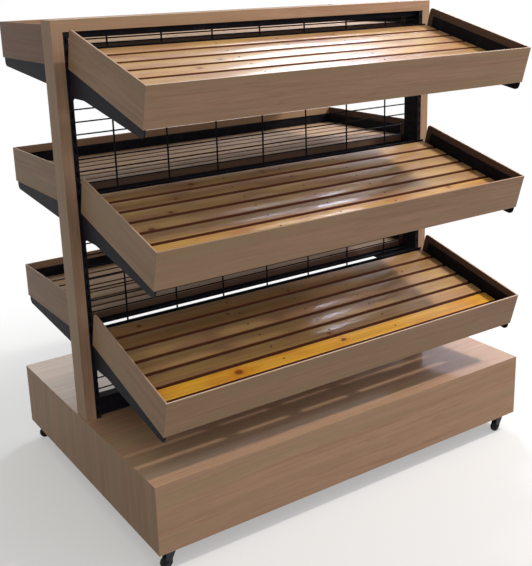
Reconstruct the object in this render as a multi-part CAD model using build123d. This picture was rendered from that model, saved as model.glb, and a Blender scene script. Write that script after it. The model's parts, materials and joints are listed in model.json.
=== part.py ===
from build123d import *
import os

# Double-sided bread rack. Millimetres, +Z up, floor at z = 0, shopper's side at -Y.
# The origin lies on the floor below the middle of the plinth.

# Plinth
PLINTH_LENGTH = 1200
PLINTH_DEPTH = 844
PLINTH_HEIGHT = 180
PLINTH_BOARD = 18
BLOCK_SIZE = 70
BLOCK_HEIGHT = 30

# Castors
CASTOR_HEIGHT = 55
CASTOR_INSET_X = 40
CASTOR_INSET_Y = 25
CASTOR_TRAIL = 12
CASTOR_HEADING = 184
CASTOR_PLATE = 42
CASTOR_SHEET = 2.5
RACEWAY_DIAMETER = 30
RACEWAY_HEIGHT = 6
RACEWAY_TAPER = 3
KING_PIN = 8
KING_PIN_HEAD = 13
KING_PIN_HEAD_HEIGHT = 2
FORK_WEB = 26
FORK_CHEEK = 2
FORK_EYE = 8
WHEEL_DIAMETER = 32
WHEEL_WIDTH = 12
AXLE_DIAMETER = 6
RUNNING_FIT = 0.05
SIDE_PLAY = 0.5
SWIVEL_PLAY = 0.3

# Portal
PORTAL_INSET = 2.5
PORTAL_HEIGHT = 1023
PORTAL_BAR = 28
PORTAL_DEPTH = 60

# Slotted uprights and the rails between them
UPRIGHT_WIDTH = 13
UPRIGHT_WALL = 1.5
SLOT_PITCH = 29
SLOT_HEIGHT = 14
SLOT_SIDE_PLAY = 0.5
FIRST_SLOT_RISE = 17
TOP_RAIL_HEIGHT = 16.5
BOTTOM_RAIL_HEIGHT = 50
RAIL_DEPTH = 30
RAIL_WALL = 1.5

# Wire grid
UPRIGHT_WIRE = 4
LEVEL_WIRE = 3
UPRIGHT_WIRE_PITCH = 149
UPRIGHT_WIRE_COUNT = 7
WIRE_FLATS = 8
LEVEL_WIRE_PITCH = 30.85
FIRST_WIRE_RISE = 17.8
EDGE_WIRE_DROP = 5

# Trays: s runs from the back edge to the front, t from the top edge down
TIER_SLOTS = 12
FIRST_TIER_SLOT = 6
FRONT_TILT = 15
REAR_TILT = 0
HANG_DROP = 123
HANG_SETBACK = 8
TRAY_LENGTH = 388
TRAY_HEIGHT = 96
TRAY_PANEL = 4
PANEL_CORNER = 10
RIM_INSET = 21
DECK_DROP = 50
SLAT_COUNT = 7
SLAT_GAP = 10
SLAT_THICKNESS = 18
SLAT_EDGE = 1
SLAT_END_GAP = 6
SLAT_SETBACK = 6
SLAT_FRONT_GAP = 1
BATTEN_WIDTH = 30
BATTEN_HEIGHT = 14
BATTEN_PITCH = 186
BATTEN_END_PLAY = 0.4
TRAY_RAIL_SHEET = 2.5
TRAY_RAIL_FLANGE = 25
BACK_RAIL_REACH = 7

# Brackets
BRACKET_PLATE = 3
NOSE_SETBACK = 2
NOSE_DROP = 23
NOSE_RADIUS = 14
ARM_BACK_REACH = 7.5
ARM_BACK_DROP = 62
ARM_ROOT_REACH = 83
ARM_ROOT_DROP = 49
ROOT_RISE = 16
LUG_DROP = 28
LUG_WIDTH = 6
LUG_FILLET = 22
HOOK_COUNT = 2
HOOK_NECK = 6
HOOK_LIP = 3
HOOK_LIP_DROP = 7
HOOK_PLAY = 0.2

# Heights and widths that several pieces share
PLINTH_TOP = CASTOR_HEIGHT + PLINTH_HEIGHT
HEADER_BOTTOM = PLINTH_TOP + PORTAL_HEIGHT - PORTAL_BAR
UPRIGHT_HEIGHT = HEADER_BOTTOM - PLINTH_TOP
POST_X = PLINTH_LENGTH / 2 - PORTAL_INSET - PORTAL_BAR / 2
UPRIGHT_X = POST_X - PORTAL_BAR / 2 - UPRIGHT_WIDTH / 2
BAY_LENGTH = 2 * UPRIGHT_X - UPRIGHT_WIDTH
GRID_BOTTOM = PLINTH_TOP + BOTTOM_RAIL_HEIGHT
GRID_TOP = HEADER_BOTTOM - TOP_RAIL_HEIGHT
SLOT_WIDTH = BRACKET_PLATE + 2 * SLOT_SIDE_PLAY
BRACKET_INSIDE = 2 * UPRIGHT_X - BRACKET_PLATE
BRACKET_OUTSIDE = 2 * UPRIGHT_X + BRACKET_PLATE
TRAY_WIDTH = BRACKET_OUTSIDE + 2 * TRAY_PANEL
FASCIA_BACK = TRAY_LENGTH - TRAY_PANEL
FRONT_RAIL_BACK = FASCIA_BACK - TRAY_RAIL_SHEET
BATTEN_TOP = DECK_DROP + SLAT_THICKNESS
BATTEN_BOTTOM = BATTEN_TOP + BATTEN_HEIGHT
AXLE_DROP = CASTOR_HEIGHT - WHEEL_DIAMETER / 2
FORK_TOP = CASTOR_SHEET + RACEWAY_HEIGHT + SWIVEL_PLAY
FORK_BOTTOM = FORK_TOP + CASTOR_SHEET
CHEEK_INSIDE = WHEEL_WIDTH / 2 + SIDE_PLAY
FORK_HALF = CHEEK_INSIDE + FORK_CHEEK

CASTOR_X = PLINTH_LENGTH / 2 - CASTOR_INSET_X
CASTOR_Y = PLINTH_DEPTH / 2 - CASTOR_INSET_Y
CORNERS = {
    "front_left": (-1, -1),
    "front_right": (1, -1),
    "rear_left": (-1, 1),
    "rear_right": (1, 1),
}
TIERS = ("bottom", "middle", "top")


def slab(size, low):
    """Box of the given size with its lowest corner at low."""
    return Pos(*low) * Box(*size, align=Align.MIN)


def plinth_side(length):
    """Upright board facing -Y, mitred at both ends and along its top edge."""
    far = (length - PLINTH_BOARD, PLINTH_HEIGHT - PLINTH_BOARD)
    return Wedge(length, PLINTH_BOARD, PLINTH_HEIGHT, PLINTH_BOARD, 0, *far)


def plinth():
    """Five boards mitred along every shared edge, and the corner blocks inside."""
    middle = CASTOR_HEIGHT + PLINTH_HEIGHT / 2
    side_x = (PLINTH_LENGTH - PLINTH_BOARD) / 2
    side_y = (PLINTH_DEPTH - PLINTH_BOARD) / 2
    top_far = (PLINTH_LENGTH - PLINTH_BOARD, PLINTH_DEPTH - PLINTH_BOARD)
    top = Wedge(PLINTH_LENGTH, PLINTH_BOARD, PLINTH_DEPTH, PLINTH_BOARD, PLINTH_BOARD, *top_far)
    return {
        "plinth_front": Pos(0, -side_y, middle) * plinth_side(PLINTH_LENGTH),
        "plinth_rear": Pos(0, side_y, middle) * Rot(0, 0, 180) * plinth_side(PLINTH_LENGTH),
        "plinth_left": Pos(-side_x, 0, middle) * Rot(0, 0, -90) * plinth_side(PLINTH_DEPTH),
        "plinth_right": Pos(side_x, 0, middle) * Rot(0, 0, 90) * plinth_side(PLINTH_DEPTH),
        "plinth_top": Pos(0, 0, PLINTH_TOP - PLINTH_BOARD / 2) * Rot(-90, 0, 0) * top,
        "castor_blocks": [corner_block(*signs) for signs in CORNERS.values()],
    }


def corner_block(sign_x, sign_y):
    """Block in a lower corner of the plinth that carries one castor."""
    x = sign_x * (PLINTH_LENGTH / 2 - PLINTH_BOARD - BLOCK_SIZE / 2)
    y = sign_y * (PLINTH_DEPTH / 2 - PLINTH_BOARD - BLOCK_SIZE / 2)
    return Pos(x, y, CASTOR_HEIGHT + BLOCK_HEIGHT / 2) * Box(BLOCK_SIZE, BLOCK_SIZE, BLOCK_HEIGHT)


def tube_section(width, depth, wall):
    """Section of a rectangular tube."""
    return Rectangle(width, depth) - Rectangle(width - 2 * wall, depth - 2 * wall)


def upright():
    """Slotted rectangular tube standing on the plinth, centred on x = 0."""
    tube = extrude(tube_section(UPRIGHT_WIDTH, PORTAL_DEPTH, UPRIGHT_WALL), UPRIGHT_HEIGHT)
    count = int((UPRIGHT_HEIGHT - FIRST_SLOT_RISE - SLOT_HEIGHT) // SLOT_PITCH) + 1
    slot = Box(SLOT_WIDTH, 2 * PORTAL_DEPTH, SLOT_HEIGHT)
    slots = [Pos(0, 0, FIRST_SLOT_RISE + k * SLOT_PITCH) * slot for k in range(count)]
    return Pos(0, 0, PLINTH_TOP) * (tube - slots)


def portal():
    """Posts with the header across them, and the uprights and rails inside."""
    header_length = PLINTH_LENGTH - 2 * PORTAL_INSET
    post = slab((PORTAL_BAR, PORTAL_DEPTH, UPRIGHT_HEIGHT),
                (-PORTAL_BAR / 2, -PORTAL_DEPTH / 2, PLINTH_TOP))
    return {
        "post_left": Pos(-POST_X, 0, 0) * post,
        "post_right": Pos(POST_X, 0, 0) * post,
        "header": slab((header_length, PORTAL_DEPTH, PORTAL_BAR),
                       (-header_length / 2, -PORTAL_DEPTH / 2, HEADER_BOTTOM)),
        "upright_left": Pos(-UPRIGHT_X, 0, 0) * upright(),
        "upright_right": Pos(UPRIGHT_X, 0, 0) * upright(),
        "top_rail": Pos(0, 0, GRID_TOP) * bay_rail(TOP_RAIL_HEIGHT),
        "bottom_rail": Pos(0, 0, PLINTH_TOP) * bay_rail(BOTTOM_RAIL_HEIGHT),
        "wire_grid": upright_wires() + level_wires(),
    }


def bay_rail(height):
    """Rectangular tube from upright to upright, standing on z = 0."""
    return Pos(0, 0, height / 2) * across(tube_section(RAIL_DEPTH, height, RAIL_WALL), BAY_LENGTH)


def wire_section(thickness):
    """Section of a drawn wire, with flats where it meets the wires that cross it."""
    return Rot(0, 0, 180 / WIRE_FLATS) * RegularPolygon(thickness / 2, WIRE_FLATS, major_radius=False)


def upright_wires():
    """Wires from rail to rail, just in front of the middle plane."""
    wire = extrude(wire_section(UPRIGHT_WIRE), (GRID_TOP - GRID_BOTTOM) / 2, both=True)
    half = (UPRIGHT_WIRE_COUNT - 1) / 2
    middle = (GRID_TOP + GRID_BOTTOM) / 2
    return [Pos((k - half) * UPRIGHT_WIRE_PITCH, -UPRIGHT_WIRE / 2, middle) * wire
            for k in range(UPRIGHT_WIRE_COUNT)]


def level_wires():
    """Wires from upright to upright, welded to the back of the upright wires."""
    first = GRID_BOTTOM + FIRST_WIRE_RISE
    edge = GRID_TOP - EDGE_WIRE_DROP
    count = int((edge - first - 2 * LEVEL_WIRE) // LEVEL_WIRE_PITCH) + 1
    heights = [first + k * LEVEL_WIRE_PITCH for k in range(count)] + [edge]
    wire = across(wire_section(LEVEL_WIRE), BAY_LENGTH)
    return [Pos(0, LEVEL_WIRE / 2, height) * wire for height in heights]


def outline(points):
    """Face in the YZ plane through points (s, t) of the tray's side view."""
    return make_face(Polyline(*[(-s, -t) for s, t in points], close=True))


def across(face, width):
    """Plate standing on its outline in the YZ plane, centred on x = 0."""
    return extrude(Plane.YZ * face, width / 2, both=True)


def tray_frame(tilt):
    """Place of the tray's back top edge when it hangs at the given tilt."""
    return Rot(tilt, 0, 0) * Pos(0, -HANG_SETBACK, HANG_DROP)


def strip(width, s_from, s_to, t_from, t_to):
    """Bar across the tray, with its section given along s and t."""
    return slab((width, s_to - s_from, t_to - t_from), (-width / 2, -s_to, -t_to))


def side_panel():
    """Wood-faced side with the upper back corner rounded."""
    face = outline([(0, 0), (FASCIA_BACK, 0), (FASCIA_BACK, TRAY_HEIGHT), (0, TRAY_HEIGHT)])
    corner = face.vertices().sort_by_distance((0, 0))[0]
    return across(fillet(corner, PANEL_CORNER), TRAY_PANEL)


def tray_rails(leg_back, leg_top):
    """Angles along the front and the back, with flanges for the battens; leg_ places the back angle."""
    leg_front = leg_back + TRAY_RAIL_SHEET
    front_flange = FRONT_RAIL_BACK - TRAY_RAIL_FLANGE
    flange_bottom = BATTEN_BOTTOM + TRAY_RAIL_SHEET
    front = strip(BRACKET_OUTSIDE, FRONT_RAIL_BACK, FASCIA_BACK, RIM_INSET, TRAY_HEIGHT)
    front += strip(BRACKET_INSIDE, front_flange, FRONT_RAIL_BACK, BATTEN_BOTTOM, flange_bottom)
    back = strip(BRACKET_INSIDE, leg_back, leg_front, leg_top, flange_bottom)
    back += strip(BRACKET_INSIDE, leg_front, leg_front + TRAY_RAIL_FLANGE, BATTEN_BOTTOM, flange_bottom)
    return [front, back]


def battens(leg_back):
    """Cross battens under the slats, lying on the flanges of the tray rails."""
    bar = strip(BATTEN_WIDTH, leg_back + TRAY_RAIL_SHEET + BATTEN_END_PLAY,
                FRONT_RAIL_BACK - BATTEN_END_PLAY, BATTEN_TOP, BATTEN_BOTTOM)
    return [Pos(k * BATTEN_PITCH, 0, 0) * bar for k in (-1, 0, 1)]


def slats():
    """Deck slats along the tray, with their upper long edges eased."""
    last = FRONT_RAIL_BACK - SLAT_FRONT_GAP
    width = (last - SLAT_SETBACK - (SLAT_COUNT - 1) * SLAT_GAP) / SLAT_COUNT
    length = BRACKET_INSIDE - 2 * SLAT_END_GAP
    slat = strip(length, SLAT_SETBACK, SLAT_SETBACK + width, DECK_DROP, BATTEN_TOP)
    slat = chamfer(slat.faces().sort_by(Axis.Z)[-1].edges().filter_by(Axis.X), SLAT_EDGE)
    return [Pos(0, -k * (width + SLAT_GAP), 0) * slat for k in range(SLAT_COUNT)]


def bracket_arm():
    """Plate beside the deck, and the tapered arm below the side panel."""
    nose = TRAY_LENGTH - NOSE_SETBACK
    nose_bottom = TRAY_HEIGHT + NOSE_DROP
    face = outline([
        (RIM_INSET, RIM_INSET),
        (FRONT_RAIL_BACK, RIM_INSET),
        (FRONT_RAIL_BACK, TRAY_HEIGHT),
        (nose, TRAY_HEIGHT),
        (nose, nose_bottom),
        (ARM_ROOT_REACH, TRAY_HEIGHT + ARM_ROOT_DROP),
        (-ARM_BACK_REACH, HANG_DROP - ROOT_RISE),
        (-ARM_BACK_REACH, ARM_BACK_DROP),
        (RIM_INSET, ARM_BACK_DROP),
    ])
    corner = face.vertices().sort_by_distance((-nose, -nose_bottom))[0]
    return across(fillet(corner, NOSE_RADIUS), BRACKET_PLATE)


def bracket_root(tilt):
    """Plate between the arm and the upright, with a lug that bears on the upright below."""
    frame = tray_frame(tilt)
    edge = (frame * Pos(0, -ARM_ROOT_REACH, -TRAY_HEIGHT - ARM_ROOT_DROP)).position
    inside = (frame * Pos(0, -RIM_INSET, -TRAY_HEIGHT)).position
    lug_bottom = edge.Z - LUG_DROP
    face = make_face(Polyline(
        (0, ROOT_RISE),
        (0, lug_bottom),
        (-LUG_WIDTH, lug_bottom),
        (-LUG_WIDTH, edge.Z),
        (edge.Y, edge.Z),
        (inside.Y, inside.Z),
        close=True,
    ))
    corner = face.vertices().sort_by_distance((-LUG_WIDTH, edge.Z))[0]
    return across(fillet(corner, LUG_FILLET), BRACKET_PLATE)


def bracket_hook(slot_height):
    """Hook through one slot: its neck sits on the slot's lower edge, its lip drops behind the wall."""
    seat = slot_height - SLOT_HEIGHT / 2
    lip_front = UPRIGHT_WALL + HOOK_PLAY
    lip_back = lip_front + HOOK_LIP
    return across(make_face(Polyline(
        (0, seat),
        (lip_front, seat),
        (lip_front, seat - HOOK_LIP_DROP),
        (lip_back, seat - HOOK_LIP_DROP),
        (lip_back, seat + HOOK_NECK),
        (0, seat + HOOK_NECK),
        close=True,
    )), BRACKET_PLATE)


def bracket(tilt):
    """One tray bracket, centred on x = 0, seen from its hang line."""
    plate = tray_frame(tilt) * bracket_arm() + bracket_root(tilt)
    for k in range(HOOK_COUNT):
        plate += bracket_hook(-k * SLOT_PITCH)
    return plate


def tray(tilt, leg_back, leg_top):
    """Pieces of one tray, facing -Y, seen from its hang line on the upright's face."""
    panel_x = (TRAY_WIDTH - TRAY_PANEL) / 2
    panel = side_panel()
    flat = {
        "fascia": [strip(TRAY_WIDTH, FASCIA_BACK, TRAY_LENGTH, 0, TRAY_HEIGHT)],
        "side_panels": [Pos(-panel_x, 0, 0) * panel, Pos(panel_x, 0, 0) * panel],
        "rails": tray_rails(leg_back, leg_top),
        "battens": battens(leg_back),
        "slats": slats(),
    }
    pieces = {name: [tray_frame(tilt) * solid for solid in solids] for name, solids in flat.items()}
    side = bracket(tilt)
    pieces["brackets"] = [Pos(-UPRIGHT_X, 0, 0) * side, Pos(UPRIGHT_X, 0, 0) * side]
    return pieces


def trays():
    """Three sloped trays on the shopper's side and three level ones behind.

    The back rail stands behind the first slat of a sloped tray, and below it on a level one.
    """
    sides = {
        "front": (-1, 0, tray(FRONT_TILT, -BACK_RAIL_REACH, DECK_DROP)),
        "rear": (1, 180, tray(REAR_TILT, SLAT_SETBACK, BATTEN_TOP)),
    }
    nodes = {}
    for side, (sign_y, turn, pieces) in sides.items():
        for k, tier in enumerate(TIERS):
            slot = FIRST_TIER_SLOT + k * TIER_SLOTS
            hang = PLINTH_TOP + FIRST_SLOT_RISE + slot * SLOT_PITCH
            place = Pos(0, sign_y * PORTAL_DEPTH / 2, hang) * Rot(0, 0, turn)
            for name, solids in pieces.items():
                nodes[f"{side}_{tier}_{name}"] = [place * solid for solid in solids]
    return nodes


def ring(profile):
    """Solid turned about the Z axis from points (radius, z)."""
    return revolve(Plane.XZ * make_face(Polyline(*profile, close=True)), Axis.Z)


def castor_plate():
    """Fixed top of a castor: screw plate, raceway and king pin, below z = 0."""
    plate = extrude(Rectangle(CASTOR_PLATE, CASTOR_PLATE), -CASTOR_SHEET)
    raceway_bottom = CASTOR_SHEET + RACEWAY_HEIGHT
    head_top = FORK_BOTTOM + SWIVEL_PLAY
    pin = ring([
        (0, -CASTOR_SHEET),
        (RACEWAY_DIAMETER / 2, -CASTOR_SHEET),
        (RACEWAY_DIAMETER / 2 - RACEWAY_TAPER, -raceway_bottom),
        (KING_PIN / 2, -raceway_bottom),
        (KING_PIN / 2, -head_top),
        (KING_PIN_HEAD / 2, -head_top),
        (KING_PIN_HEAD / 2, -head_top - KING_PIN_HEAD_HEIGHT),
        (0, -head_top - KING_PIN_HEAD_HEIGHT),
    ])
    return plate + pin


def castor_fork():
    """Swivelling fork: web round the king pin, two cheeks and the axle, trailing to +X."""
    web = Rectangle(FORK_WEB, 2 * FORK_HALF) - Circle(KING_PIN / 2 + RUNNING_FIT)
    fork = extrude(Plane.XY.offset(-FORK_BOTTOM) * web, CASTOR_SHEET)
    shoulder = Line((-FORK_WEB / 2, -FORK_TOP), (FORK_WEB / 2, -FORK_TOP)).edges()
    eye = (Pos(CASTOR_TRAIL, -AXLE_DROP) * Circle(FORK_EYE)).edges()
    cheek = extrude(Plane.XZ * make_hull(shoulder + eye), FORK_CHEEK / 2, both=True)
    cheek_y = FORK_HALF - FORK_CHEEK / 2
    fork += Pos(0, -cheek_y, 0) * cheek
    fork += Pos(0, cheek_y, 0) * cheek
    return fork + axle_place() * Cylinder(AXLE_DIAMETER / 2, 2 * FORK_HALF)


def axle_place():
    """Middle of the axle, its Z axis along the axle."""
    return Pos(CASTOR_TRAIL, 0, -AXLE_DROP) * Rot(90, 0, 0)


def castor_wheel():
    """Bored wheel on the axle."""
    section = Circle(WHEEL_DIAMETER / 2) - Circle(AXLE_DIAMETER / 2 + RUNNING_FIT)
    return axle_place() * extrude(section, WHEEL_WIDTH / 2, both=True)


def castors():
    """Four castors below the corner blocks, all trailing the same way."""
    plate, fork, wheel = castor_plate(), castor_fork(), castor_wheel()
    nodes = {"castor_plates": []}
    for corner, (sign_x, sign_y) in CORNERS.items():
        pivot = Pos(sign_x * CASTOR_X, sign_y * CASTOR_Y, CASTOR_HEIGHT)
        turned = pivot * Rot(0, 0, CASTOR_HEADING)
        nodes["castor_plates"].append(pivot * plate)
        nodes[f"castor_fork_{corner}"] = turned * fork
        nodes[f"castor_wheel_{corner}"] = turned * wheel
    return nodes


def main():
    os.makedirs("parts", exist_ok=True)
    for name, shape in (plinth() | portal() | trays() | castors()).items():
        node = Compound(children=shape) if isinstance(shape, list) else shape
        export_step(node, f"parts/{name}.step")


main()
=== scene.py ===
"""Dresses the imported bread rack: laminate, pine slats, black steelwork, castors and a studio stage."""
import json
import random
from math import cos, hypot, pi, radians, sin

import bmesh
import bpy
from bpy.props import FloatProperty, FloatVectorProperty, IntProperty, PointerProperty
from mathutils import Matrix, Vector


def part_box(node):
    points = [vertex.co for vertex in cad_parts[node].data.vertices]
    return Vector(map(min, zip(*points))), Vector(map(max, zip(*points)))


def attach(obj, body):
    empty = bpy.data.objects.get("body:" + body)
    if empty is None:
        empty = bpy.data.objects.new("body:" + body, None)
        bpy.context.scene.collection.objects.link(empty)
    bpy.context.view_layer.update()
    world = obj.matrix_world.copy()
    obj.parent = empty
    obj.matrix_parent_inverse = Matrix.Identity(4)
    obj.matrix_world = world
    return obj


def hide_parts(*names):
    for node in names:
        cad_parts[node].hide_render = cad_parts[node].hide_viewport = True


bl_info = {
    "name": "Bread rack",
    "version": (1, 0, 0),
    "blender": (4, 5, 0),
    "location": "View3D > Sidebar > Rack",
    "description": "Dresses the packed bread rack and sets up its studio",
    "category": "Object",
}

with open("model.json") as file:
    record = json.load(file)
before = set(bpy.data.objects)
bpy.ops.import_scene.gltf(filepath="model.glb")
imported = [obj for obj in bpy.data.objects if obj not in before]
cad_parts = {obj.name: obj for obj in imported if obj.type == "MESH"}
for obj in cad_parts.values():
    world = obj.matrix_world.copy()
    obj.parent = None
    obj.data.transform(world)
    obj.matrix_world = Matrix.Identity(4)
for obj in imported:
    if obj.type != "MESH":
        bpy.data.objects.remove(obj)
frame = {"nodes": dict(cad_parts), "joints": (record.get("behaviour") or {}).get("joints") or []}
NODES = frame["nodes"]
JOINTS = {joint["name"]: joint for joint in frame["joints"]}
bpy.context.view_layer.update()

SIDES = ("front", "rear")
TIERS = ("bottom", "middle", "top")
TRAYS = [(side, tier) for side in SIDES for tier in TIERS]
CORNERS = ("front_left", "front_right", "rear_left", "rear_right")

# Hang of the trays on the uprights, in metres and radians
HANG_LINE = {"bottom": 0.426, "middle": 0.774, "top": 1.122}
HANG_DROP = 0.123
HANG_SETBACK = 0.008
UPRIGHT_FACE = 0.030
TILT = {"front": radians(15), "rear": 0.0}

# Slats of one tray, measured from its back edge and its top edge
SLAT_COUNT = 7
SLAT_LENGTH = 1.111
SLAT_WIDTH = 0.044929
SLAT_PITCH = 0.054929
SLAT_THICKNESS = 0.018
FIRST_SLAT = 0.006
DECK_DROP = 0.050

# Slat screws: their lines across a tray, how far they stray and how deep their heads sit
SCREW_LINES = (-0.186, 0.0, 0.186)
SCREW_STRAY = 0.003
SCREW_BITE = 0.0001

# Screw heads, as shares of their radius and height
SCREW_SIDES = 12
SCREW_TOP = 0.82
RECESS_RIM = 0.36
RECESS_DEPTH = 0.8
RECESS_TAPER = 0.6

# Boards by chance: orange of the varnish, shift of the grain, and room that each board has in the grain
MOST_WARMTH = 0.26
GRAIN_SHIFT = 0.02
GRAIN_ROOM = 1.7

# Boards that show plainly in the photograph: orange of the varnish, and depth of the wood, which above 1 is
# painted shade and below 0 painted light
PHOTO_BOARDS = {
    ("front", "bottom", 0): (0.05, 2.4),
    ("front", "bottom", 1): (0.05, 2.4),
    ("front", "bottom", 5): (1.0, 0.15),
    ("front", "middle", 0): (0.05, 0.6),
    ("front", "middle", 1): (0.10, 0.1),
    ("front", "middle", 2): (0.08, 0.5),
    ("front", "middle", 3): (0.10, 0.8),
    ("front", "middle", 4): (0.10, 0.9),
    ("front", "middle", 5): (0.45, -0.1),
    ("front", "top", 1): (0.08, -1.0),
    ("front", "top", 2): (0.12, -0.7),
    ("front", "top", 3): (0.24, -0.8),
}

# Knots on a board: places along and across it from its middle, and sizes
KNOT_NAMES = ("knot_first", "knot_second")
NO_KNOT = (9.0, 9.0, 1.0)
PHOTO_KNOTS = {
    ("front", "bottom", 5): ((-0.322, 0.0, 1.7), (0.008, 0.004, 1.1)),
    ("front", "middle", 2): ((-0.404, -0.014, 1.0), NO_KNOT),
    ("front", "middle", 3): ((-0.487, -0.018, 1.2), NO_KNOT),
}
KNOT_CHANCE = 0.22
LEAST_KNOT = (-SLAT_LENGTH / 2, -SLAT_WIDTH / 3, 0.6)
MOST_KNOT = (SLAT_LENGTH / 2, SLAT_WIDTH / 3, 1.1)

# Radii over which a knot of size 1 fades and its halo fades, and its stretch along and across the board
KNOT_FADE = (0.0035, 0.0085)
HALO_FADE = (0.006, 0.022)
KNOT_STRETCH = (0.85, 1.15, 0.0)

# Growth rings of the pine: their width, and how deep the pith lies under a board
RING_WIDTH = 0.0052
PITH_DEPTH = 0.012
PITH_SPREAD = 0.05

# Noise in the finishes, in cells per metre along, across and through a board
LAMINATE_DRIFT = (1.6, 7.0, 7.0)
LAMINATE_BROAD = (0.6, 22.0, 22.0)
LAMINATE_STREAK = (2.6, 130.0, 130.0)
LAMINATE_FINE = (7.0, 430.0, 430.0)
LAMINATE_PORE = (30.0, 1100.0, 1100.0)
LAMINATE_CAST = (1.1, 34.0, 34.0)
PINE_DRIFT = (1.4, 4.0, 4.0)
PINE_WOBBLE = (3.0, 40.0, 40.0)
PINE_FIBRE = (7.0, 420.0, 420.0)
PINE_CLOUD = (3.0, 24.0, 24.0)
PINE_BLOTCH = (6.0, 20.0, 20.0)
RAW_DRIFT = (2.0, 6.0, 6.0)
RAW_BAND = (1.5, 130.0, 130.0)
RAW_FIBRE = (14.0, 700.0, 700.0)
COAT_PEEL = (900.0, 900.0, 900.0)
COAT_DUST = (22.0, 22.0, 22.0)
METAL_STAIN = (160.0, 160.0, 160.0)
METAL_SCRATCH = (300.0, 1500.0, 1500.0)
RUBBER_SCUFF = (260.0, 260.0, 260.0)

# How far the grain wanders across a board, and the height of each finish's relief
LAMINATE_WANDER = 0.045
PINE_WANDER = 0.02
RAW_WANDER = 0.02
LAMINATE_RELIEF = 0.00008
PINE_RELIEF = 0.00015
RAW_RELIEF = 0.0002
COAT_RELIEF = 0.00006
METAL_RELIEF = 0.00003
RUBBER_RELIEF = 0.0002

# Painted light and shade on the laminate: the plinth top is painted lighter, and the low front fascia
# and the rear tray sides darker
NO_PAINTED_SHADING = (1.0, 1.0, 1.0)
PLINTH_TOP_PAINTED_LIGHT = (1.20, 1.20, 1.20)
LOW_FASCIA_PAINTED_SHADE = (0.93, 0.93, 0.93)
REAR_SIDE_PAINTED_SHADE = {"bottom": (0.70, 0.64, 0.61), "middle": (0.76, 0.73, 0.68), "top": (0.51, 0.41, 0.37)}

# Wires of the grid
UPRIGHT_WIRE_PITCH = 0.149
UPRIGHT_WIRE_COUNT = 7
LEVEL_WIRE_PITCH = 0.03085
LEVEL_WIRE_COUNT = 30
FIRST_WIRE_RISE = 0.0178
EDGE_WIRE_DROP = 0.005
WIRE_SIDES = 10
WIRE_END = 0.12
WELD_SPREAD = 1.25
WELD_SQUEEZE = 0.55

# Castors
WHEEL_RADIUS = 0.016
WHEEL_WIDTH = 0.012
RIM_WIDTH = 0.0045
WEB_WIDTH = 0.0045
DISH_DEPTH = 0.0022
DISH_TAPER = 0.96
HUB_TAPER = 0.95
WHEEL_SIDES = 48
AXLE_RADIUS = 0.003
BORE_PLAY = 1.02
FORK_HALF = 0.0085
PLATE_BOTTOM = 0.0525
PLATE_SCREW_REACH = 0.0165

# Axle nuts, as shares of their width
NUT_HEIGHT = 0.26
NUT_EDGE = 0.04
NUT_RIM = 0.16
BOLT_RISE = 0.07

# Faces and edges to choose: how far along z a flat face looks, and how much a rim's edge may miss
FLAT = 0.9
QUITE_FLAT = 0.99
LEVEL_MISS = 1e-6
RIM_MISS = 1e-5

# The photograph's frame and the camera that took it, in pixels, metres and radians
PHOTO_SIZE = (532, 566)
FOCAL_PIXELS = 896.81
OPTICAL_CENTRE = (259.605, 234.726)
EYE = (-1.36868, -2.06521, 1.3341)
YAW = -0.5787
PITCH = -0.2773
ROLL = -0.0319
SENSOR = 36.0
FAR_CLIP = 200

# Floor: its radius, where it turns white, and its white near the rack and as a light on the rack
FLOOR_RADIUS = 60
FLOOR_FADE = (0.9, 1.7)
FLOOR_WHITE = 0.35
FLOOR_GLOW = 0.2

# Soft light: where most of it comes from, and how far round its tint turns
BRIGHT_SIDE = (0.80, -0.60, 0.0)
TINT_TURN = 0.7

# Lamps: tint, place, point aimed at, width and height, and spread
LAMPS = {
    "key": ((1.0, 0.93, 0.86), (2.46, -1.26, 3.10), (0.1, -0.2, 0.7), (0.2, 0.26), pi),
    "window": ((0.80, 0.88, 1.0), (2.25, 2.28, 3.62), (-0.05, -0.2, 1.15), (0.5, 1.5), pi),
    "tube": ((0.70, 0.78, 1.0), (1.80, 1.15, 2.60), (0.0, -0.25, 0.60), (0.3, 0.3), radians(30)),
    "side": ((0.80, 0.64, 1.0), (5.0, 4.27, 2.70), (0.5, 0.0, 0.235), (2.4, 1.4), pi),
    "wall": ((1.0, 0.98, 0.96), (0.85, 4.27, 2.0), (-0.5, 0.35, 0.235), (1.6, 0.7), pi),
}

WHITE = (1, 1, 1)
ORIGIN = (0, 0, 0)
ALONG_X = Vector((1, 0, 0))
ALONG_Y = Vector((0, 1, 0))
ALONG_Z = Vector((0, 0, 1))
ALONG_SLOPE = Vector((0, cos(TILT["front"]), sin(TILT["front"])))


def colour(name, description, default):
    """Colour that a user may change."""
    return FloatVectorProperty(name=name, description=description, subtype="COLOR", size=3, min=0, max=1,
                               default=default)


def length(name, description, default):
    """Length that a user may change, in metres."""
    return FloatProperty(name=name, description=description, default=default, min=0, unit="LENGTH",
                         subtype="DISTANCE")


def power(name, description, default):
    """Power of a lamp that a user may change, in watts."""
    return FloatProperty(name=name, description=description, default=default, min=0, unit="POWER")


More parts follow.
